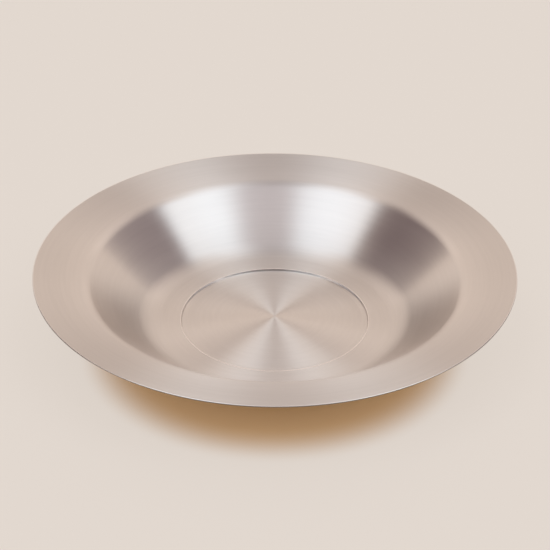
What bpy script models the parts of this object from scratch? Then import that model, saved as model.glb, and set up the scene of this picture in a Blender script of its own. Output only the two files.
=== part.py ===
"""Pasta plate, pressed from one round blank of stainless steel sheet.

The plate is a body of revolution about +Z.  From the middle outwards its upper face is a base disc that is
domed a little, a flat ring, a step up with two sharp coined corners, a flat well, a straight conical wall and
a wide rim that slopes up to a rounded trimmed edge.  The underside is the same face moved by the sheet's
thickness, so the base disc stands proud underneath and carries the plate on its flat ring.  The origin is on
the axis, on the table.

Sizes are metres, angles are degrees.
"""

import math

import bpy
from mathutils import Vector

# Overall sizes
RIM_RADIUS = 0.120
PLATE_HEIGHT = 0.033
SHEET = 0.0008

# Rim and wall
RIM_WIDTH = 0.0255
RIM_SLOPE = 10.0
WALL_SLOPE = 41.5

# Base disc, its step and the flat ring that it stands on
DISC_RADIUS = 0.0472
STEP_HEIGHT = 0.0010
STEP_SLOPE = 70.0
FOOT_RING_WIDTH = 0.0026
DOME_RISE = 0.0020

# Bends, measured on the hollow side of the sheet
DOME_BEND = 0.0060
STEP_BEND = 0.0001
WELL_BEND = 0.0180
RIM_BEND = 0.0112

# Coined upper edge of the step, measured on the upper face
STEP_EDGE = 0.0001

# Facets
TURNS = 64
DOME_POINTS = 6
DOME_BEND_POINTS = 2
STEP_BEND_POINTS = 3
WELL_BEND_POINTS = 7
RIM_BEND_POINTS = 6
EDGE_POINTS = 7
MERGE_DISTANCE = 0.00001

# Brushed stainless steel
STEEL_COLOUR = (0.66, 0.62, 0.58, 1.0)
STEEL_ROUGHNESS = 0.32


def tangent(angle):
    """Unit vector (radius, height) along a stretch that climbs outwards at an angle in degrees."""
    return Vector((math.cos(math.radians(angle)), math.sin(math.radians(angle))))


def bend(corner, slope_in, slope_out, inside_radius, count):
    """Pairs of points, on the upper face and on the underside, round a bend between two straight stretches.

    A bend that turns up is hollow on the upper face and has the inside radius there.  A bend that turns
    down is hollow on the underside, so the upper face has that radius plus the sheet.
    """
    turns_up = slope_out > slope_in
    radius = inside_radius if turns_up else inside_radius + SHEET
    side = -1.0 if turns_up else 1.0
    set_back = radius * math.tan(math.radians(abs(slope_out - slope_in)) / 2)
    first_normal = tangent(slope_in + 90)
    centre = corner - tangent(slope_in) * set_back - first_normal * (side * radius)
    pairs = []
    for index in range(count):
        normal = tangent(slope_in + (slope_out - slope_in) * index / (count - 1) + 90)
        upper = centre + normal * (side * radius)
        pairs.append((upper, upper - normal * SHEET))
    return pairs


def coined_edge(corner, slope_in, slope_out, radius, count):
    """Pairs of points round an edge that turns down and is coined: a small radius above, one line below."""
    first_normal = tangent(slope_in + 90)
    last_normal = tangent(slope_out + 90)
    under = corner - (first_normal + last_normal) * (SHEET / (1 + first_normal.dot(last_normal)))
    set_back = radius * math.tan(math.radians(slope_in - slope_out) / 2)
    centre = corner - tangent(slope_in) * set_back - first_normal * radius
    pairs = []
    for index in range(count):
        normal = tangent(slope_in + (slope_out - slope_in) * index / (count - 1) + 90)
        pairs.append((centre + normal * radius, under))
    return pairs


def dome_slope(radius):
    """Angle in degrees at which the base disc's arc comes down to the flat ring."""
    return 2 * math.degrees(math.atan2(DOME_RISE, radius))


def dome(corner):
    """Pairs of points of the base disc's arc, from the axis to just before its corner with the flat ring."""
    slope = dome_slope(corner.x)
    radius = corner.x / math.sin(math.radians(slope))
    centre = Vector((0.0, corner.y + DOME_RISE - radius))
    pairs = []
    for index in range(DOME_POINTS):
        normal = tangent(90 - slope * index / DOME_POINTS)
        upper = centre + normal * radius
        pairs.append((upper, upper - normal * SHEET))
    return pairs


def sheet_faces():
    """Pairs of points on the upper face and the underside, from the axis to the start of the trimmed edge."""
    disc_level = SHEET
    well_level = SHEET + STEP_HEIGHT
    step_run = STEP_HEIGHT / math.tan(math.radians(STEP_SLOPE))
    step_foot = Vector((DISC_RADIUS - step_run / 2, disc_level))
    step_head = Vector((DISC_RADIUS + step_run / 2, well_level))
    ring_corner = step_foot - tangent(0.0) * FOOT_RING_WIDTH

    edge = edge_centre() + tangent(RIM_SLOPE + 90) * (SHEET / 2)
    rim_corner = edge - tangent(RIM_SLOPE) * (RIM_WIDTH / math.cos(math.radians(RIM_SLOPE)))
    wall_run = (rim_corner.y - well_level) / math.tan(math.radians(WALL_SLOPE))
    well_corner = Vector((rim_corner.x - wall_run, well_level))

    return (
        dome(ring_corner)
        + bend(ring_corner, -dome_slope(ring_corner.x), 0.0, DOME_BEND, DOME_BEND_POINTS)
        + bend(step_foot, 0.0, STEP_SLOPE, STEP_BEND, STEP_BEND_POINTS)
        + coined_edge(step_head, STEP_SLOPE, 0.0, STEP_EDGE, STEP_BEND_POINTS)
        + bend(well_corner, 0.0, WALL_SLOPE, WELL_BEND, WELL_BEND_POINTS)
        + bend(rim_corner, WALL_SLOPE, RIM_SLOPE, RIM_BEND, RIM_BEND_POINTS)
    )


def edge_centre():
    """Middle of the sheet at its rounded edge, half a sheet inside the plate's own radius and height."""
    return Vector((RIM_RADIUS - SHEET / 2, PLATE_HEIGHT - SHEET / 2))


def trimmed_edge():
    """Half round from the upper face to the underside at the rim."""
    points = []
    for index in range(EDGE_POINTS):
        angle = RIM_SLOPE + 90 - 180 * index / (EDGE_POINTS - 1)
        points.append(edge_centre() + tangent(angle) * (SHEET / 2))
    return points


def section():
    """Closed half section: out along the upper face, round the edge and back along the underside."""
    pairs = sheet_faces()
    top = [upper for upper, _ in pairs]
    bottom = []
    for _, under in reversed(pairs):
        if not bottom or under != bottom[-1]:
            bottom.append(under)
    return top + trimmed_edge() + bottom


def steel():
    """Brushed stainless steel."""
    material = bpy.data.materials.new("brushed_steel")
    material.use_nodes = True
    shader = material.node_tree.nodes["Principled BSDF"]
    shader.inputs["Base Color"].default_value = STEEL_COLOUR
    shader.inputs["Roughness"].default_value = STEEL_ROUGHNESS
    shader.inputs["Metallic"].default_value = 1.0
    return material


def plate_body(collection):
    """The one pressing, turned from its half section."""
    points = section()
    mesh = bpy.data.meshes.new("plate_body")
    edges = [(index, index + 1) for index in range(len(points) - 1)]
    mesh.from_pydata([(point.x, 0.0, point.y) for point in points], edges, [])
    mesh.materials.append(steel())

    body = bpy.data.objects.new("plate_body", mesh)
    collection.objects.link(body)
    turning = body.modifiers.new("turning", "SCREW")
    turning.axis = "Z"
    turning.angle = math.tau
    turning.steps = TURNS
    turning.render_steps = TURNS
    turning.use_merge_vertices = True
    turning.merge_threshold = MERGE_DISTANCE
    turning.use_smooth_shade = True
    return body


def main():
    for existing in list(bpy.data.objects):
        bpy.data.objects.remove(existing)
    collection = bpy.data.collections.new("pasta_plate")
    bpy.context.scene.collection.children.link(collection)
    plate_body(collection)


main()
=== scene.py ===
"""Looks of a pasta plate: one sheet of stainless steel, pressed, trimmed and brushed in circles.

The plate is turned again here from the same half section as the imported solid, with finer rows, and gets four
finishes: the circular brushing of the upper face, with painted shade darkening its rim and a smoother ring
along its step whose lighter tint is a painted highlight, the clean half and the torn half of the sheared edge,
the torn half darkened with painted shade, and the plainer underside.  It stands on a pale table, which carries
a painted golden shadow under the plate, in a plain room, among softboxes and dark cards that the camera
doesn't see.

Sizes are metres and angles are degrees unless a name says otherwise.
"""

import logging
import math
from dataclasses import dataclass
from enum import Enum
from typing import Any

import bpy
from mathutils import Euler, Matrix, Quaternion, Vector


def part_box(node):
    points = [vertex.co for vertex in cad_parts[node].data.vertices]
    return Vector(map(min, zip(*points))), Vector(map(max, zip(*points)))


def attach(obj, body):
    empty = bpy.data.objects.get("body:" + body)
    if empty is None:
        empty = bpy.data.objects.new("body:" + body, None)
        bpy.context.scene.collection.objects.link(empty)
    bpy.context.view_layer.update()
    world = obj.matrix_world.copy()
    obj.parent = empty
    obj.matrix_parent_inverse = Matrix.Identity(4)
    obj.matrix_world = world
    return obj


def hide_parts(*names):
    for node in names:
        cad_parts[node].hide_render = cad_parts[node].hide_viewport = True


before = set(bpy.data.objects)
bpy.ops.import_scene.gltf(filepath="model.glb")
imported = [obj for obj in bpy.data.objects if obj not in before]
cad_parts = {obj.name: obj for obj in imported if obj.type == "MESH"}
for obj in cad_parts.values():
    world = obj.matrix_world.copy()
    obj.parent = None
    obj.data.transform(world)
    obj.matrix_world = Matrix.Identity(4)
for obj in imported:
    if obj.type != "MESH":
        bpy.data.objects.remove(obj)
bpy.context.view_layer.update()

LOG = logging.getLogger("pasta_plate")

# Sizes that are read from the imported solid are rounded to tenths of a millimetre
SIZE_DIGITS = 4

Colour = tuple[float, float, float]
Reach = tuple[float, float]
Socket = bpy.types.NodeSocket


class Face(Enum):
    """The stretches of the half section, each with its own finish; the value is the material's place."""

    UPPER = 0
    CUT = 1
    TORN = 2
    UNDER = 3


@dataclass(frozen=True)
class Station:
    """Two points of the half section that lie across the sheet from each other.

    Args:
        upper: radius and height on the upper face.
        under: radius and height on the underside.
    """

    upper: Vector
    under: Vector


Outline = list[tuple[Vector, Face]]


def heading(angle: float) -> Vector:
    """Give the unit vector (radius, height) that climbs outwards at an angle in degrees."""
    return Vector((math.cos(math.radians(angle)), math.sin(math.radians(angle))))


def bearing(azimuth: float, elevation: float) -> Vector:
    """Give the unit vector at an azimuth from +X towards +Y and an elevation, both in degrees."""
    flat = heading(azimuth) * math.cos(math.radians(elevation))
    return Vector((flat.x, flat.y, math.sin(math.radians(elevation))))


def new_object(name: str, data: bpy.types.ID) -> bpy.types.Object:
    """Make an object and link it to the scene.

    Args:
        name: the object's name.
        data: its mesh or its camera.

    Returns:
        The object.
    """
    made = bpy.data.objects.new(name, data)
    bpy.context.scene.collection.objects.link(made)
    return made


def level_face(name: str, corners: list[tuple[float, float]]) -> bpy.types.Mesh:
    """Make a mesh of one level face that looks up.

    Args:
        name: the mesh's name.
        corners: its corners, anticlockwise.

    Returns:
        The mesh.
    """
    mesh = bpy.data.meshes.new(name)
    mesh.from_pydata([(x, y, 0.0) for x, y in corners], [], [tuple(range(len(corners)))])
    return mesh


class Nodes:
    """A short hand for laying out a material's nodes."""

    # Places of the colour sockets among all sockets of a Mix node
    COLOUR_INPUTS = (6, 7)
    COLOUR_OUTPUT = 2

    def __init__(self, name: str) -> None:
        """Make a material with the nodes that Blender gives it.

        Args:
            name: the material's name.
        """
        self.material = bpy.data.materials.new(name)
        self.material.use_nodes = True
        self.tree = self.material.node_tree
        self.principled = self.tree.nodes["Principled BSDF"]

    def add(self, kind: str, **settings: Any) -> bpy.types.Node:
        """Add a node.

        Args:
            kind: the node's Blender type.
            settings: properties to set on it.

        Returns:
            The new node.
        """
        node = self.tree.nodes.new(kind)
        for name, value in settings.items():
            setattr(node, name, value)
        return node

    def feed(self, socket: Socket, value: Any) -> None:
        """Link an output to an input, or set the input to a constant.

        Args:
            socket: the input.
            value: an output socket, a number or a tuple.
        """
        if isinstance(value, Socket):
            self.tree.links.new(value, socket)
        else:
            socket.default_value = value

    def place(self) -> Socket:
        """Give the place on the object, in the object's own metres."""
        return self.add("ShaderNodeTexCoord").outputs["Object"]

    def split(self) -> list[Socket]:
        """Give the three coordinates of the place on the object.

        Returns:
            The sockets of X, Y and Z.
        """
        node = self.add("ShaderNodeSeparateXYZ")
        self.feed(node.inputs[0], self.place())
        return list(node.outputs)

    def distance(self, middle: tuple[float, float, float]) -> Socket:
        """Measure how far the place on the object is from a point.

        Args:
            middle: the point, in the object's own metres.

        Returns:
            The distance's socket.
        """
        node = self.add("ShaderNodeVectorMath", operation="DISTANCE")
        self.feed(node.inputs[0], self.place())
        self.feed(node.inputs[1], middle)
        return node.outputs["Value"]

    def math(self, operation: str, *values: Any) -> Socket:
        """Add a Math node.

        Args:
            operation: Blender's name of the operation.
            values: its inputs, in order.

        Returns:
            The result's socket.
        """
        node = self.add("ShaderNodeMath", operation=operation)
        for socket, value in zip(node.inputs, values):
            self.feed(socket, value)
        return node.outputs[0]

    def remap(self, value: Any, low: float, high: float, out_low: float, out_high: float) -> Socket:
        """Map a range onto another with a smooth step.

        Args:
            value: what is mapped.
            low: start of its range.
            high: end of its range.
            out_low: result at the start.
            out_high: result at the end.

        Returns:
            The result's socket.
        """
        node = self.add("ShaderNodeMapRange", interpolation_type="SMOOTHSTEP")
        for socket, number in zip(node.inputs, (value, low, high, out_low, out_high)):
            self.feed(socket, number)
        return node.outputs[0]

    def mix(self, factor: Any, first: Any, second: Any) -> Socket:
        """Mix two colours.

        Args:
            factor: share of the second colour.
            first: colour or socket.
            second: colour or socket.

        Returns:
            The result's socket.
        """
        node = self.add("ShaderNodeMix", data_type="RGBA")
        self.feed(node.inputs["Factor"], factor)
        for place, value in zip(self.COLOUR_INPUTS, (first, second)):
            self.feed(node.inputs[place], value if isinstance(value, Socket) else (*value, 1.0))
        return node.outputs[self.COLOUR_OUTPUT]

    def glow(self, colour: Any) -> Socket:
        """Add a shader that glows by itself.

        Args:
            colour: colour or socket of what it sends out.

        Returns:
            The shader's socket.
        """
        node = self.add("ShaderNodeEmission")
        self.feed(node.inputs["Color"], colour if isinstance(colour, Socket) else (*colour, 1.0))
        return node.outputs[0]

    def clear(self) -> Socket:
        """Add a shader that lets everything through."""
        return self.add("ShaderNodeBsdfTransparent").outputs[0]

    def blend(self, share: Any, first: Socket, second: Socket) -> Socket:
        """Blend two shaders.

        Args:
            share: share of the second shader.
            first: the first shader's socket.
            second: the second shader's socket.

        Returns:
            The blend's socket.
        """
        node = self.add("ShaderNodeMixShader")
        for socket, value in zip(node.inputs, (share, first, second)):
            self.feed(socket, value)
        return node.outputs[0]

    def show(self, shader: Socket) -> None:
        """Let the material show a shader."""
        self.feed(self.tree.nodes["Material Output"].inputs["Surface"], shader)


@dataclass(frozen=True)
class CoinedRingWithPaintedHighlight:
    """The narrow ring of the step and its lip, which the press leaves smoother than the rest; its lighter tint
    is a painted highlight.

    Args:
        inner: radius where it starts.
        outer: radius where it ends.
        fade: width of its soft edges.
        roughness: its roughness.
        tint: colour of its metal, lighter than the face's: a painted highlight along the step.
    """

    inner: float
    outer: float
    fade: float
    roughness: float
    tint: Colour

    def share(self, nodes: Nodes, radius: Socket) -> Socket:
        """Give the ring's mask.

        Args:
            nodes: the material's nodes.
            radius: distance from the plate's axis.

        Returns:
            A socket that is 1 in the ring and 0 outside it.
        """
        begun = nodes.remap(radius, self.inner - self.fade, self.inner, 0.0, 1.0)
        ended = nodes.remap(radius, self.outer, self.outer + self.fade, 1.0, 0.0)
        return nodes.math("MULTIPLY", begun, ended)

    def lay_over(self, nodes: Nodes, radius: Socket, rough: Socket, colour: Socket) -> tuple[Socket, Socket]:
        """Lay the ring over the finish of the face round it.

        Args:
            nodes: the material's nodes.
            radius: distance from the plate's axis.
            rough: roughness of the face.
            colour: colour of the face.

        Returns:
            The roughness and the colour, with the ring.
        """
        coined = self.share(nodes, radius)
        change = nodes.math("SUBTRACT", self.roughness, rough)
        # painted highlight: the ring takes a lighter tint than the face round it
        return nodes.math("MULTIPLY_ADD", coined, change, rough), nodes.mix(coined, colour, self.tint)


@dataclass(frozen=True)
class BrushedSteel:
    """Stainless steel with grooves that run round the plate's axis.

    Args:
        name: the material's name.
        tint: colour of the metal.
        middle: mean of the two roughnesses, along and across the grooves, where the brush runs slowly.
        wall: the same on the wall.
        rim: the same on the rim.
        rim_painted_shade: how much of the tint is left at the rim's edge: painted shade that darkens the rim's
            reflections.
        anisotropy: how far the two roughnesses differ.
        streak_roughness: how much rougher or finer a streak may be.
        streak_tint: how much darker a streak may be.
        groove_pitch: width of one groove.
        groove_depth: height of the bump that the grooves make.
        streak_pitch: width of a streak of like grooves.
        streak_turn: how fast streaks and grooves change along their circles.
        step: the smoother ring of a step, with its painted highlight, if the face has one.
        grazing: tint of what the metal shows at a flat angle.
        wall_reach: radii between which the middle's roughness turns into the wall's.
        rim_reach: radii between which the wall's roughness turns into the rim's.
        rim_paint_reach: radii between which the rim's painted shade comes in.
        noise_reach: values that the noise of the grooves mostly keeps between.
        noise_detail: how many finer layers the noise has.
        axis_gap: radius below which the grooves aren't drawn any tighter.
    """

    name: str
    tint: Colour
    middle: float
    wall: float
    rim: float
    rim_painted_shade: float
    anisotropy: float
    streak_roughness: float
    streak_tint: float
    groove_pitch: float
    groove_depth: float
    streak_pitch: float
    streak_turn: float
    step: CoinedRingWithPaintedHighlight | None = None
    grazing: Colour = (1.0, 1.0, 1.0)
    wall_reach: Reach = (0.059, 0.082)
    rim_reach: Reach = (0.090, 0.099)
    rim_paint_reach: Reach = (0.094, 0.112)
    noise_reach: Reach = (0.3, 0.7)
    noise_detail: float = 2.0
    axis_gap: float = 0.00001

    def material(self, lay: str) -> bpy.types.Material:
        """Make the material.

        Args:
            lay: name of the UV map whose U runs across the grooves.

        Returns:
            The material.
        """
        nodes = Nodes(self.name)
        inputs = nodes.principled.inputs
        nodes.feed(inputs["Metallic"], 1.0)
        nodes.feed(inputs["Anisotropic"], self.anisotropy)
        nodes.feed(inputs["Specular Tint"], (*self.grazing, 1.0))
        tangent = nodes.add("ShaderNodeTangent", direction_type="UV_MAP", uv_map=lay)
        nodes.feed(inputs["Tangent"], tangent.outputs[0])

        radius = self.radius(nodes)
        streaks = self.rings(nodes, radius, self.streak_pitch)
        rough = self.roughness(nodes, radius, streaks)
        colour = self.colour(nodes, radius, streaks)
        if self.step is not None:
            rough, colour = self.step.lay_over(nodes, radius, rough, colour)
        nodes.feed(inputs["Roughness"], rough)
        nodes.feed(inputs["Base Color"], colour)
        nodes.feed(inputs["Normal"], self.grooves(nodes, radius))
        return nodes.material

    def roughness(self, nodes: Nodes, radius: Socket, streaks: Socket) -> Socket:
        """Give the roughness, which changes from the middle to the rim and from streak to streak.

        Args:
            nodes: the material's nodes.
            radius: distance from the plate's axis.
            streaks: noise of the streaks.

        Returns:
            The roughness's socket.
        """
        inner = nodes.remap(radius, *self.wall_reach, self.middle, self.wall)
        outer = nodes.remap(radius, *self.rim_reach, 0.0, self.rim - self.wall)
        change = nodes.remap(streaks, *self.noise_reach, -self.streak_roughness, self.streak_roughness)
        return nodes.math("ADD", nodes.math("ADD", inner, outer), change)

    def colour(self, nodes: Nodes, radius: Socket, streaks: Socket) -> Socket:
        """Give the metal's colour, darkened by painted shade at the rim's edge and by the streaks' own tone.

        Args:
            nodes: the material's nodes.
            radius: distance from the plate's axis.
            streaks: noise of the streaks.

        Returns:
            The colour's socket.
        """
        # painted shade: the tint darkens towards the rim's edge, in place of darker reflections there
        rim_painted_tint = tuple(channel * self.rim_painted_shade for channel in self.tint)
        colour = nodes.mix(nodes.remap(radius, *self.rim_paint_reach, 0.0, 1.0), self.tint, rim_painted_tint)
        darker = nodes.remap(streaks, *self.noise_reach, self.streak_tint, 0.0)
        return nodes.mix(darker, colour, (0.0, 0.0, 0.0))

    def grooves(self, nodes: Nodes, radius: Socket) -> Socket:
        """Give the normal that the grooves tilt.

        Args:
            nodes: the material's nodes.
            radius: distance from the plate's axis.

        Returns:
            The normal's socket.
        """
        bump = nodes.add("ShaderNodeBump")
        nodes.feed(bump.inputs["Strength"], 1.0)
        nodes.feed(bump.inputs["Distance"], self.groove_depth)
        nodes.feed(bump.inputs["Height"], self.rings(nodes, radius, self.groove_pitch))
        return bump.outputs[0]

    def radius(self, nodes: Nodes) -> Socket:
        """Give the distance from the plate's axis.

        Args:
            nodes: the material's nodes.

        Returns:
            The distance's socket.
        """
        flat = nodes.add("ShaderNodeVectorMath", operation="MULTIPLY")
        nodes.feed(flat.inputs[0], nodes.place())
        nodes.feed(flat.inputs[1], (1.0, 1.0, 0.0))
        length = nodes.add("ShaderNodeVectorMath", operation="LENGTH")
        nodes.feed(length.inputs[0], flat.outputs[0])
        return length.outputs["Value"]

    def rings(self, nodes: Nodes, radius: Socket, pitch: float) -> Socket:
        """Lay noise in rings round the axis: fast across the grooves, slow along them, with no seam.

        Args:
            nodes: the material's nodes.
            radius: distance from the plate's axis.
            pitch: distance between rings.

        Returns:
            The noise's socket.
        """
        safe = nodes.math("MAXIMUM", radius, self.axis_gap)
        vector = nodes.add("ShaderNodeCombineXYZ")
        nodes.feed(vector.inputs[0], nodes.math("DIVIDE", radius, pitch))
        for socket, coordinate in zip(vector.inputs[1:], nodes.split()):
            share = nodes.math("DIVIDE", coordinate, safe)
            nodes.feed(socket, nodes.math("MULTIPLY", share, self.streak_turn))
        noise = nodes.add("ShaderNodeTexNoise", noise_dimensions="3D")
        nodes.feed(noise.inputs["Scale"], 1.0)
        nodes.feed(noise.inputs["Detail"], self.noise_detail)
        nodes.feed(noise.inputs["Vector"], vector.outputs[0])
        return noise.outputs[0]


@dataclass
class SheetSection:
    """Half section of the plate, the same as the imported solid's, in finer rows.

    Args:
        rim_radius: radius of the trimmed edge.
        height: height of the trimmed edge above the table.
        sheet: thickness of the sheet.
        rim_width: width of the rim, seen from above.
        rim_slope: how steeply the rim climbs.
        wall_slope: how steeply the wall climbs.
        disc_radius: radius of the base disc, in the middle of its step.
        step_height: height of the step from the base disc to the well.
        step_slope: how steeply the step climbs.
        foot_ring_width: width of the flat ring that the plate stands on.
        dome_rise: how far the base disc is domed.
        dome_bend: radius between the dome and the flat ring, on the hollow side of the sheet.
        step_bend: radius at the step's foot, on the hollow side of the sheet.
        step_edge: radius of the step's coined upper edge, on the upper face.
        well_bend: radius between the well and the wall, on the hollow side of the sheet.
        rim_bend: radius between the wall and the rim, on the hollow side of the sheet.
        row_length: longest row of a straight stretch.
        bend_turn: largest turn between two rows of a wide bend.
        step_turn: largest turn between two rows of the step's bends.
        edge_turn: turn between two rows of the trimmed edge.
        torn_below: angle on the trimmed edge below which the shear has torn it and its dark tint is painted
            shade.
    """

    rim_radius: float
    height: float
    sheet: float = 0.0008
    rim_width: float = 0.0255
    rim_slope: float = 10.0
    wall_slope: float = 41.5
    disc_radius: float = 0.0472
    step_height: float = 0.0010
    step_slope: float = 70.0
    foot_ring_width: float = 0.0026
    dome_rise: float = 0.0020
    dome_bend: float = 0.0060
    step_bend: float = 0.0001
    step_edge: float = 0.0001
    well_bend: float = 0.0180
    rim_bend: float = 0.0112
    row_length: float = 0.0022
    bend_turn: float = 2.2
    step_turn: float = 10.0
    edge_turn: float = 15.0
    torn_below: float = 20.0

    def edge_centre(self) -> Vector:
        """Give the middle of the sheet at its rounded edge."""
        return Vector((self.rim_radius - self.sheet / 2, self.height - self.sheet / 2))

    def bend(
        self, corner: Vector, slope_in: float, slope_out: float, inside: float, turn: float
    ) -> list[Station]:
        """Round a corner of the upper face.

        Args:
            corner: where the two straight stretches would meet.
            slope_in: slope of the stretch before it.
            slope_out: slope of the stretch after it.
            inside: radius on the hollow side of the sheet.
            turn: largest turn between two stations.

        Returns:
            The stations round the bend.
        """
        turns_up = slope_out > slope_in
        radius = inside if turns_up else inside + self.sheet
        side = -1.0 if turns_up else 1.0
        change = slope_out - slope_in
        set_back = radius * math.tan(math.radians(abs(change)) / 2)
        centre = corner - heading(slope_in) * set_back - heading(slope_in + 90) * (side * radius)
        count = math.ceil(abs(change) / turn)
        stations = []
        for index in range(count + 1):
            normal = heading(slope_in + change * index / count + 90)
            upper = centre + normal * (side * radius)
            stations.append(Station(upper, upper - normal * self.sheet))
        return stations

    def coined_edge(self, corner: Vector, slope_in: float, slope_out: float) -> list[Station]:
        """Round the step's upper corner, which is coined: a small radius above and one line below.

        Args:
            corner: where the two straight stretches would meet.
            slope_in: slope of the stretch before it.
            slope_out: slope of the stretch after it.

        Returns:
            The stations round the edge, all with the same point on the underside.
        """
        first, last = heading(slope_in + 90), heading(slope_out + 90)
        under = corner - (first + last) * (self.sheet / (1 + first.dot(last)))
        set_back = self.step_edge * math.tan(math.radians(slope_in - slope_out) / 2)
        centre = corner - heading(slope_in) * set_back - first * self.step_edge
        count = math.ceil((slope_in - slope_out) / self.step_turn)
        stations = []
        for index in range(count + 1):
            normal = heading(slope_in + (slope_out - slope_in) * index / count + 90)
            stations.append(Station(centre + normal * self.step_edge, under))
        return stations

    def dome_slope(self, radius: float) -> float:
        """Give the angle at which the base disc's arc comes down to the flat ring."""
        return 2 * math.degrees(math.atan2(self.dome_rise, radius))

    def dome(self, corner: Vector) -> list[Station]:
        """Give the base disc's arc.

        Args:
            corner: where the arc would meet the flat ring.

        Returns:
            The stations from the axis to just before the corner.
        """
        slope = self.dome_slope(corner.x)
        radius = corner.x / math.sin(math.radians(slope))
        centre = Vector((0.0, corner.y + self.dome_rise - radius))
        count = math.ceil(corner.x / self.row_length)
        stations = []
        for index in range(count):
            normal = heading(90 - slope * index / count)
            upper = centre + normal * radius
            stations.append(Station(upper, upper - normal * self.sheet))
        return stations

    def filled(self, stretches: list[list[Station]]) -> list[Station]:
        """Join stretches with straight rows.

        Args:
            stretches: bends in order, whose ends face each other.

        Returns:
            All stations, with none of a straight stretch further apart than a row.
        """
        stations = list(stretches[0])
        for stretch in stretches[1:]:
            last, first = stations[-1], stretch[0]
            count = math.ceil((first.upper - last.upper).length / self.row_length)
            for index in range(1, count):
                upper = last.upper.lerp(first.upper, index / count)
                under = last.under.lerp(first.under, index / count)
                stations.append(Station(upper, under))
            stations.extend(stretch)
        return stations

    def upper_face(self) -> list[Station]:
        """Lay out the sheet from the driving sizes.

        Returns:
            The stations from the axis to the trimmed edge.
        """
        disc_level = self.sheet
        well_level = self.sheet + self.step_height
        step_run = self.step_height / math.tan(math.radians(self.step_slope))
        step_foot = Vector((self.disc_radius - step_run / 2, disc_level))
        step_head = Vector((self.disc_radius + step_run / 2, well_level))
        ring_corner = step_foot - heading(0.0) * self.foot_ring_width
        edge = self.edge_centre() + heading(self.rim_slope + 90) * (self.sheet / 2)
        rim_length = self.rim_width / math.cos(math.radians(self.rim_slope))
        rim_corner = edge - heading(self.rim_slope) * rim_length
        wall_run = (rim_corner.y - well_level) / math.tan(math.radians(self.wall_slope))
        well_corner = Vector((rim_corner.x - wall_run, well_level))
        dome_slope = self.dome_slope(ring_corner.x)
        return self.filled([
            self.dome(ring_corner),
            self.bend(ring_corner, -dome_slope, 0.0, self.dome_bend, self.bend_turn),
            self.bend(step_foot, 0.0, self.step_slope, self.step_bend, self.step_turn),
            self.coined_edge(step_head, self.step_slope, 0.0),
            self.bend(well_corner, 0.0, self.wall_slope, self.well_bend, self.bend_turn),
            self.bend(rim_corner, self.wall_slope, self.rim_slope, self.rim_bend, self.bend_turn),
            [Station(edge, edge - heading(self.rim_slope + 90) * self.sheet)],
        ])

    def outline(self) -> Outline:
        """Give the closed half section.

        Returns:
            Points from the axis out along the upper face, round the edge and back along the underside, each
            with the face of the row that starts there.
        """
        stations = self.upper_face()
        points = [(station.upper, Face.UPPER) for station in stations[:-1]]
        count = round(180 / self.edge_turn)
        for index in range(count):
            angle = self.rim_slope + 90 - 180 * index / count
            face = Face.CUT if angle > self.torn_below else Face.TORN
            points.append((self.edge_centre() + heading(angle) * (self.sheet / 2), face))
        for station in reversed(stations):
            if station.under != points[-1][0]:
                points.append((station.under, Face.UNDER))
        return points


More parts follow.
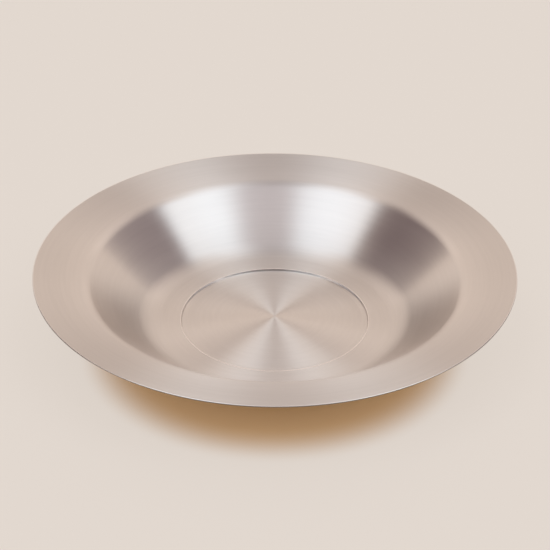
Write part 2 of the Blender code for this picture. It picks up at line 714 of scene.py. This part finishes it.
@dataclass
class PressedPlate:
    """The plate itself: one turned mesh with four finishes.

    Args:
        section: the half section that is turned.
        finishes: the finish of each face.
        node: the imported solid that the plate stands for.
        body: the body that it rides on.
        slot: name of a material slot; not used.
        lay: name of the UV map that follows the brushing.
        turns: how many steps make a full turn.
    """

    section: SheetSection
    finishes: dict[Face, BrushedSteel]
    node: str = "plate_body"
    body: str = "root"
    slot: str = "brushed_steel"
    lay: str = "OFBake"
    turns: int = 256

    def build(self) -> bpy.types.Object:
        """Turn the half section and dress it.

        Returns:
            The plate, riding on its body in place of its solid.
        """
        outline = self.section.outline()
        faces, places = self.skin(outline)
        mesh = bpy.data.meshes.new("pressed_plate")
        mesh.from_pydata(self.turned(outline), [], faces)
        mesh.polygons.foreach_set("material_index", places)
        mesh.shade_smooth()
        self.lay_out(mesh, outline)
        for face in Face:
            mesh.materials.append(self.finishes[face].material(self.lay))
        plate = new_object("pressed_plate", mesh)
        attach(plate, self.body)
        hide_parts(self.node)
        return plate

    def turned(self, outline: Outline) -> list[tuple[float, float, float]]:
        """Turn the half section's points round the axis.

        Args:
            outline: the half section, whose two ends lie on the axis.

        Returns:
            The first end, a ring for each point after it, and the last end.
        """
        vertices = [(0.0, 0.0, outline[0][0].y)]
        for point, _ in outline[1:-1]:
            for turn in range(self.turns):
                angle = math.tau * turn / self.turns
                vertices.append((point.x * math.cos(angle), point.x * math.sin(angle), point.y))
        vertices.append((0.0, 0.0, outline[-1][0].y))
        return vertices

    def skin(self, outline: Outline) -> tuple[list[tuple[int, ...]], list[int]]:
        """Join the turned points with faces.

        Args:
            outline: the half section, whose two ends lie on the axis.

        Returns:
            The faces' vertices and the places of their materials.
        """
        rings = len(outline) - 2
        last_ring = 1 + (rings - 1) * self.turns
        last_vertex = last_ring + self.turns
        faces, places = [], []
        for turn in range(self.turns):
            after = (turn + 1) % self.turns
            faces.append((0, 1 + turn, 1 + after))
            for start in range(1, last_ring, self.turns):
                end = start + self.turns
                faces.append((start + turn, end + turn, end + after, start + after))
            faces.append((last_ring + turn, last_vertex, last_ring + after))
            places.extend(face.value for _, face in outline[:-1])
        return faces, places

    def lay_out(self, mesh: bpy.types.Mesh, outline: Outline) -> None:
        """Give the mesh a map whose U runs along the half section and whose V runs round the axis.

        Args:
            mesh: the turned mesh.
            outline: the half section.
        """
        reach = [0.0]
        for (before, _), (after, _) in zip(outline, outline[1:]):
            reach.append(reach[-1] + (after - before).length)
        shares = [length / reach[-1] for length in reach]
        ends = {0: shares[0], len(mesh.vertices) - 1: shares[-1]}
        layer = mesh.uv_layers.new(name=self.lay)
        for polygon in mesh.polygons:
            turns = [(vertex - 1) % self.turns for vertex in polygon.vertices if vertex not in ends]
            wraps = max(turns) - min(turns) > 1
            if wraps:
                turns = [turn or self.turns for turn in turns]
            for loop in polygon.loop_indices:
                vertex = mesh.loops[loop].vertex_index
                if vertex in ends:
                    share, turn = ends[vertex], sum(turns) / len(turns)
                else:
                    ring, turn = divmod(vertex - 1, self.turns)
                    share = shares[1 + ring]
                    if wraps and turn == 0:
                        turn = self.turns
                layer.data[loop].uv = (share, turn / self.turns)


@dataclass(frozen=True)
class Panel:
    """A flat panel out of the camera's sight: a softbox where it glows, a card where it is dark.

    Args:
        name: the panel's name.
        azimuth: where its middle is, seen from the plate.
        elevation: how high its middle is, seen from the plate.
        width: angle that it spans sideways, seen from the plate.
        height: angle that it spans upwards, seen from the plate.
        radiance: how bright its face is, with its colour.
        roll: how far it is turned in its own plane.
        feather: width of its soft edge, as a share of its distance.
        distance: how far it is from the plate.
    """

    name: str
    azimuth: float
    elevation: float
    width: float
    height: float
    radiance: Colour
    roll: float = 0.0
    feather: float = 0.2
    distance: float = 4.0

    def half_side(self, angle: float) -> float:
        """Give half of the side that spans an angle, with half of its soft edge."""
        return self.distance * (math.tan(math.radians(angle / 2)) + self.feather / 2)

    def build(self, aim: Vector) -> bpy.types.Object:
        """Hang the panel.

        Args:
            aim: the point it faces.

        Returns:
            The panel.
        """
        x, y = self.half_side(self.width), self.half_side(self.height)
        mesh = level_face(self.name, [(-x, -y), (x, -y), (x, y), (-x, y)])
        mesh.materials.append(self.surface(x, y))
        panel = new_object(self.name, mesh)
        outward = bearing(self.azimuth, self.elevation)
        level = Vector((0.0, 0.0, 1.0)).cross(outward).normalized()
        side = Quaternion(outward, math.radians(self.roll)) @ level
        panel.rotation_mode = "QUATERNION"
        panel.rotation_quaternion = Matrix((side, outward.cross(side), outward)).transposed().to_quaternion()
        panel.location = aim + outward * self.distance
        panel.visible_camera = False
        return panel

    def surface(self, x: float, y: float) -> bpy.types.Material:
        """Make the glowing or dark surface, which fades out at its edges.

        Args:
            x: half of its level side.
            y: half of its other side.

        Returns:
            The material.
        """
        nodes = Nodes(self.name)
        nodes.tree.nodes.remove(nodes.principled)
        fades = []
        for coordinate, half in zip(nodes.split(), (x, y)):
            reach = nodes.math("ABSOLUTE", coordinate)
            fades.append(nodes.remap(reach, half - self.feather * self.distance, half, 1.0, 0.0))
        nodes.show(nodes.blend(nodes.math("MULTIPLY", *fades), nodes.clear(), nodes.glow(self.radiance)))
        return nodes.material


@dataclass
class PaleTable:
    """The pale round table under the plate, which shows from above only and fades into the room.

    Its own even tone stands in for a share of the light on it, wherever the camera or the steel sees it. Under
    the front of the plate it carries a painted golden shadow: a golden colour and a darker golden tone.

    Args:
        radius: radius of the top.
        corners: how many corners its round edge has.
        fade_from: share of the radius where it starts to fade.
        roughness: roughness of the top.
        open_colour: colour of the top in the open.
        open_tone: even tone there.
        open_share: share of the even tone there.
        painted_shadow_colour: colour of the top in the painted golden shadow under the plate.
        painted_shadow_tone: even tone there, a painted dark golden shade.
        painted_shadow_share: share of the even tone there.
        painted_shadow_middle: middle of the painted golden shadow under the plate.
        painted_shadow_reach: distances from its middle between which the painted shadow fades.
    """

    radius: float = 1.2
    corners: int = 96
    fade_from: float = 0.6
    roughness: float = 0.9
    open_colour: Colour = (0.765, 0.715, 0.665)
    open_tone: Colour = (0.775, 0.700, 0.635)
    open_share: float = 0.85
    # the painted golden shadow under the plate
    painted_shadow_colour: Colour = (0.95, 0.68, 0.40)
    painted_shadow_tone: Colour = (0.60, 0.355, 0.17)
    painted_shadow_share: float = 0.18
    painted_shadow_middle: tuple[float, float] = (0.0, -0.021)
    painted_shadow_reach: Reach = (0.070, 0.098)

    def build(self) -> bpy.types.Object:
        """Lay the table top.

        Returns:
            The table.
        """
        corners = []
        for index in range(self.corners):
            place = heading(360 * index / self.corners) * self.radius
            corners.append((place.x, place.y))
        mesh = level_face("table", corners)
        mesh.materials.append(self.surface())
        table = new_object("table", mesh)
        return table

    def surface(self) -> bpy.types.Material:
        """Make the pale surface, with a painted golden shadow under the plate.

        Returns:
            The material.
        """
        nodes = Nodes("table")
        inputs = nodes.principled.inputs
        nodes.feed(inputs["Roughness"], self.roughness)
        nodes.feed(inputs["Specular IOR Level"], 0.0)
        # painted shadow: a golden zone of the table under the front of the plate, darker in what the camera
        # and the steel see, stands in for the plate's shade
        from_painted_shadow = nodes.distance((*self.painted_shadow_middle, 0.0))
        outside_painted_shadow = nodes.remap(from_painted_shadow, *self.painted_shadow_reach, 0.0, 1.0)
        nodes.feed(inputs["Base Color"], nodes.mix(outside_painted_shadow, self.painted_shadow_colour, self.open_colour))

        path = nodes.add("ShaderNodeLightPath").outputs
        seen = nodes.math("MAXIMUM", path["Is Camera Ray"], path["Is Glossy Ray"])
        seen = nodes.math("MAXIMUM", seen, path["Is Transmission Ray"])
        tone = nodes.glow(nodes.mix(outside_painted_shadow, self.painted_shadow_tone, self.open_tone))
        share = nodes.remap(from_painted_shadow, *self.painted_shadow_reach, self.painted_shadow_share, self.open_share)
        top = nodes.blend(nodes.math("MULTIPLY", seen, share), nodes.principled.outputs[0], tone)

        from_middle = nodes.distance((0.0, 0.0, 0.0))
        faded = nodes.remap(from_middle, self.fade_from * self.radius, self.radius, 0.0, 1.0)
        below = nodes.add("ShaderNodeNewGeometry").outputs["Backfacing"]
        nodes.show(nodes.blend(nodes.math("MAXIMUM", below, faded), top, nodes.clear()))
        return nodes.material


@dataclass
class PhotoCamera:
    """The camera at the photograph's angle, with no shift.

    Args:
        distance: how far it is from the middle of the rim.
        elevation: how high it is, seen from the middle of the rim.
        roll: how far it is turned about its own axis.
        photo_pixels: width and height of the photograph.
        focal_pixels: focal length in the photograph's pixels.
        rim_centre_pixel: where the photograph shows the middle of the rim.
        sensor_width: width of the sensor in millimetres.
    """

    distance: float = 0.87
    elevation: float = 31.225
    roll: float = 0.32
    photo_pixels: int = 550
    focal_pixels: float = 1746.9
    rim_centre_pixel: tuple[float, float] = (274.45, 264.43)
    sensor_width: float = 36.0

    def build(self, rim_centre: Vector) -> bpy.types.Object:
        """Place the camera.

        Args:
            rim_centre: the middle of the rim.

        Returns:
            The camera.
        """
        data = bpy.data.cameras.new("camera")
        data.sensor_width = self.sensor_width
        data.lens = self.sensor_width * self.focal_pixels / self.photo_pixels
        camera = new_object("camera", data)
        rise = math.radians(self.elevation)
        camera.location = rim_centre + Vector((0.0, -math.cos(rise), math.sin(rise))) * self.distance
        middle = (self.photo_pixels - 1) / 2
        yaw = math.atan((self.rim_centre_pixel[0] - middle) / self.focal_pixels)
        pitch = math.atan((self.rim_centre_pixel[1] - middle) / self.focal_pixels)
        look = (rim_centre - camera.location).to_track_quat("-Z", "Y")
        turn = Euler((pitch, yaw, math.radians(self.roll)), "XYZ").to_quaternion()
        camera.rotation_mode = "QUATERNION"
        camera.rotation_quaternion = look @ turn
        bpy.context.scene.camera = camera
        return camera


@dataclass
class Studio:
    """Table, room, panels and camera.

    Args:
        rim_centre: the middle of the rim, which panels and camera face.
        table: the table.
        panels: the softboxes and the cards.
        camera: the camera.
        room_colour: colour of the room's own light.
    """

    rim_centre: Vector
    table: PaleTable
    panels: list[Panel]
    camera: PhotoCamera
    room_colour: Colour = (0.945, 0.80, 0.705)

    def build(self) -> list[bpy.types.Object]:
        """Set up the table, the room, the panels and the camera.

        Returns:
            The table, the panels and the camera.
        """
        pieces = [self.table.build()]
        self.room()
        for panel in self.panels:
            pieces.append(panel.build(self.rim_centre))
        pieces.append(self.camera.build(self.rim_centre))
        return pieces

    def room(self) -> None:
        """Surround the table with a plain pale room."""
        world = bpy.data.worlds.new("room")
        bpy.context.scene.world = world
        world.use_nodes = True
        background = world.node_tree.nodes["Background"]
        background.inputs["Color"].default_value = (*self.room_colour, 1.0)


def steel_finishes() -> dict[Face, BrushedSteel]:
    """Choose the steel of each face.

    Returns:
        The finishes by face.
    """
    clean_steel = (0.677, 0.646, 0.624)
    # the step ring's lighter tint is a painted highlight
    step = CoinedRingWithPaintedHighlight(inner=0.04698, outer=0.04775, fade=0.00010, roughness=0.21, tint=(0.72, 0.695, 0.678))
    return {
        Face.UPPER: BrushedSteel(
            # rim_painted_shade darkens the rim's tint: painted shade
            name="brushed_face", tint=clean_steel, middle=0.37, wall=0.282, rim=0.39, rim_painted_shade=0.935,
            anisotropy=0.95, streak_roughness=0.006, streak_tint=0.03,
            groove_pitch=0.00025, groove_depth=0.0000008, streak_pitch=0.0016, streak_turn=2.0,
            step=step, grazing=(0.84, 0.805, 0.785),
        ),
        Face.CUT: BrushedSteel(
            name="cut_edge", tint=clean_steel, middle=0.30, wall=0.30, rim=0.30, rim_painted_shade=1.0,
            anisotropy=0.3, streak_roughness=0.02, streak_tint=0.03,
            groove_pitch=0.00025, groove_depth=0.000001, streak_pitch=0.0016, streak_turn=2.0,
        ),
        # painted shade: the torn half's dark brown tint stands in for the shaded table that the edge's lower
        # half reflects; its roughness is the torn steel's own
        Face.TORN: BrushedSteel(
            name="torn_edge_painted_shade", tint=(0.24, 0.19, 0.15), middle=0.55, wall=0.55, rim=0.55, rim_painted_shade=1.0,
            anisotropy=0.0, streak_roughness=0.05, streak_tint=0.10,
            groove_pitch=0.00025, groove_depth=0.000003, streak_pitch=0.0016, streak_turn=9.0,
        ),
        Face.UNDER: BrushedSteel(
            name="underside", tint=(0.66, 0.63, 0.60), middle=0.48, wall=0.45, rim=0.45, rim_painted_shade=1.0,
            anisotropy=0.5, streak_roughness=0.03, streak_tint=0.04,
            groove_pitch=0.0004, groove_depth=0.000003, streak_pitch=0.0024, streak_turn=3.0,
        ),
    }


def lights_above_and_behind() -> list[Panel]:
    """Lay out the wide lights that the steel shows as its soft tones.

    Returns:
        The panels above the plate and those behind it.
    """
    return [
        Panel("overhead_front", azimuth=-90.0, elevation=68.0, width=60.0, height=44.0,
              radiance=(0.89, 0.84, 0.88), feather=0.25),
        Panel("overhead_left", azimuth=145.0, elevation=75.0, width=26.0, height=15.0,
              radiance=(1.66, 1.71, 1.78), distance=3.95),
        Panel("overhead_right", azimuth=35.0, elevation=74.5, width=26.0, height=15.0,
              radiance=(1.60, 1.65, 1.72), distance=3.95),
        Panel("glow_back", azimuth=90.0, elevation=19.0, width=34.0, height=12.0,
              radiance=(1.22, 1.05, 0.93), distance=3.95),
        Panel("fill_back", azimuth=90.0, elevation=45.0, width=12.0, height=20.0,
              radiance=(1.19, 1.03, 0.925), feather=0.15, distance=3.85),
        Panel("fill_left", azimuth=120.0, elevation=42.0, width=13.0, height=20.0,
              radiance=(1.58, 1.37, 1.22), roll=-8.0, feather=0.15, distance=3.85),
        Panel("fill_right", azimuth=60.0, elevation=42.0, width=13.0, height=20.0,
              radiance=(1.50, 1.30, 1.16), roll=8.0, feather=0.15, distance=3.85),
        Panel("glow_left", azimuth=121.0, elevation=9.0, width=15.0, height=24.0,
              radiance=(1.10, 0.955, 0.855), roll=-22.0, distance=3.95),
        Panel("glow_right", azimuth=59.0, elevation=9.0, width=15.0, height=24.0,
              radiance=(1.05, 0.905, 0.80), roll=22.0, distance=3.95),
    ]


def dark_cards() -> list[Panel]:
    """Lay out the cards that the steel shows as its dark band, its dark patches and its step's far line.

    Returns:
        The cards.
    """
    return [
        Panel("card_top", azimuth=90.0, elevation=73.0, width=13.0, height=23.0,
              radiance=(0.18, 0.16, 0.18), feather=0.15, distance=3.9),
        Panel("card_left", azimuth=162.0, elevation=28.5, width=47.0, height=60.0,
              radiance=(0.165, 0.115, 0.125), roll=-9.0, feather=0.06, distance=3.8),
        Panel("card_right", azimuth=15.5, elevation=28.5, width=45.0, height=58.0,
              radiance=(0.28, 0.225, 0.24), roll=9.0, feather=0.06, distance=3.8),
        Panel("card_front", azimuth=-90.0, elevation=12.0, width=124.0, height=40.0,
              radiance=(0.0, 0.0, 0.0), distance=3.7),
    ]


def softboxes() -> list[Panel]:
    """Lay out the two softboxes that the far wall shows as its white patches.

    Returns:
        The softboxes.
    """
    return [
        Panel("softbox_left", azimuth=-140.3, elevation=50.0, width=38.5, height=42.0,
              radiance=(1.60, 1.69, 1.79), roll=20.0, distance=3.5),
        Panel("softbox_right", azimuth=-24.5, elevation=49.0, width=35.0, height=42.0,
              radiance=(1.58, 1.69, 1.79), roll=-22.0, feather=0.15, distance=3.5),
    ]


def main() -> None:
    """Build the plate and its studio, and report each piece."""
    logging.basicConfig(level=logging.INFO, format="%(name)s: %(message)s")
    bpy.context.scene.view_settings.view_transform = "Standard"
    low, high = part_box("plate_body")
    rim_radius = round((high.x - low.x) / 2, SIZE_DIGITS)
    height = round(high.z, SIZE_DIGITS)

    plate = PressedPlate(SheetSection(rim_radius, height), steel_finishes()).build()
    LOG.info("%s: %d faces", plate.name, len(plate.data.polygons))

    panels = lights_above_and_behind() + dark_cards() + softboxes()
    studio = Studio(Vector((0.0, 0.0, height)), PaleTable(), panels, PhotoCamera())
    for piece in studio.build():
        LOG.info("%s: in the studio", piece.name)


if __name__ == "__main__":
    main()
